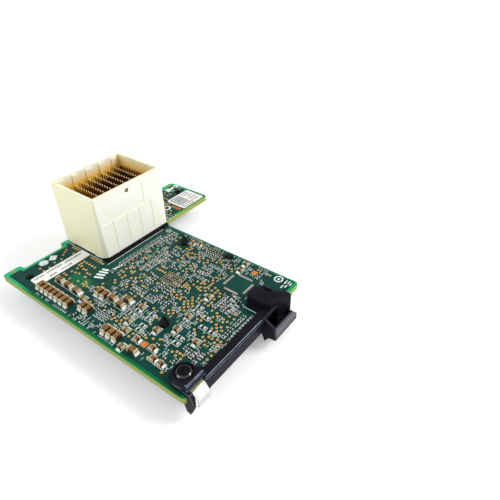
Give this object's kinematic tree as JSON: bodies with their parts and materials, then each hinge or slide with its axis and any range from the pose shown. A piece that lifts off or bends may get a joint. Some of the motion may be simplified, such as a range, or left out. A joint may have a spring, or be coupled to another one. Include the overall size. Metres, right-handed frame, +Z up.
{
  "type": "mezzanine host bus adapter",
  "caption": "L-shaped mezzanine adapter card with a tall ivory connector, a black latch bracket with a spring clip and a finned heat sink under the controller.",
  "frame": {"origin": "under the middle of the whole, at the level of the heat sink's feet", "axes": "+X along the front edge from the spring clip to the finger pull, +Y from the latch bracket to the connector, +Z up from the component side"},
  "size_m": [0.082, 0.0892, 0.034],
  "materials": {
    "laminate": "green solder mask, satin",
    "ivory_plastic": "moulded, satin",
    "dark_plastic": "moulded, matt",
    "black_plastic": "moulded, fine texture",
    "gold": "gold plated",
    "spring_steel": "bright",
    "dark_steel": "black oxide",
    "tin": "tinned",
    "brown_ceramic": "fired ceramic",
    "dark_ceramic": "fired ceramic",
    "black_epoxy": "moulded epoxy, matt",
    "white_paper": "printed film, bare",
    "bare_aluminium": "extruded, clear",
    "nickel": "nickel plated",
    "grey_pad": "soft thermal pad",
    "white_ceramic": "fired ceramic"
  },
  "bodies": {
    "root": {"circuit_board": "laminate", "connector_housing": "ivory_plastic", "connector_wafers": "dark_plastic", "signal_contacts": "gold", "latch_bracket": "black_plastic", "bracket_screws": "dark_steel", "bracket_nut": "dark_steel", "spring_clip": "spring_steel", "controller_chip": "laminate", "controller_lid": "nickel", "thermal_pad": "grey_pad", "heat_sink": "bare_aluminium", "push_pins": "black_plastic", "push_pin_springs": "spring_steel", "power_capacitors": "brown_ceramic", "power_capacitor_ends": "tin", "bulk_capacitors": "brown_ceramic", "bulk_capacitor_ends": "tin", "decoupling_capacitors": "dark_ceramic", "decoupling_capacitor_ends": "tin", "chip_resistors": "dark_ceramic", "chip_resistor_ends": "tin", "driver_chip": "black_epoxy", "test_pads": "gold", "fiducials": "gold", "footprint_lands": "tin", "ear_contacts": "gold", "address_label": "white_paper", "part_label": "white_paper", "flash_memory": "black_epoxy", "flash_memory_leads": "tin", "clock_oscillator": "white_ceramic", "clock_oscillator_lid": "nickel", "power_inductor": "black_epoxy", "power_inductor_ends": "tin"}
  },
  "joints": []
}
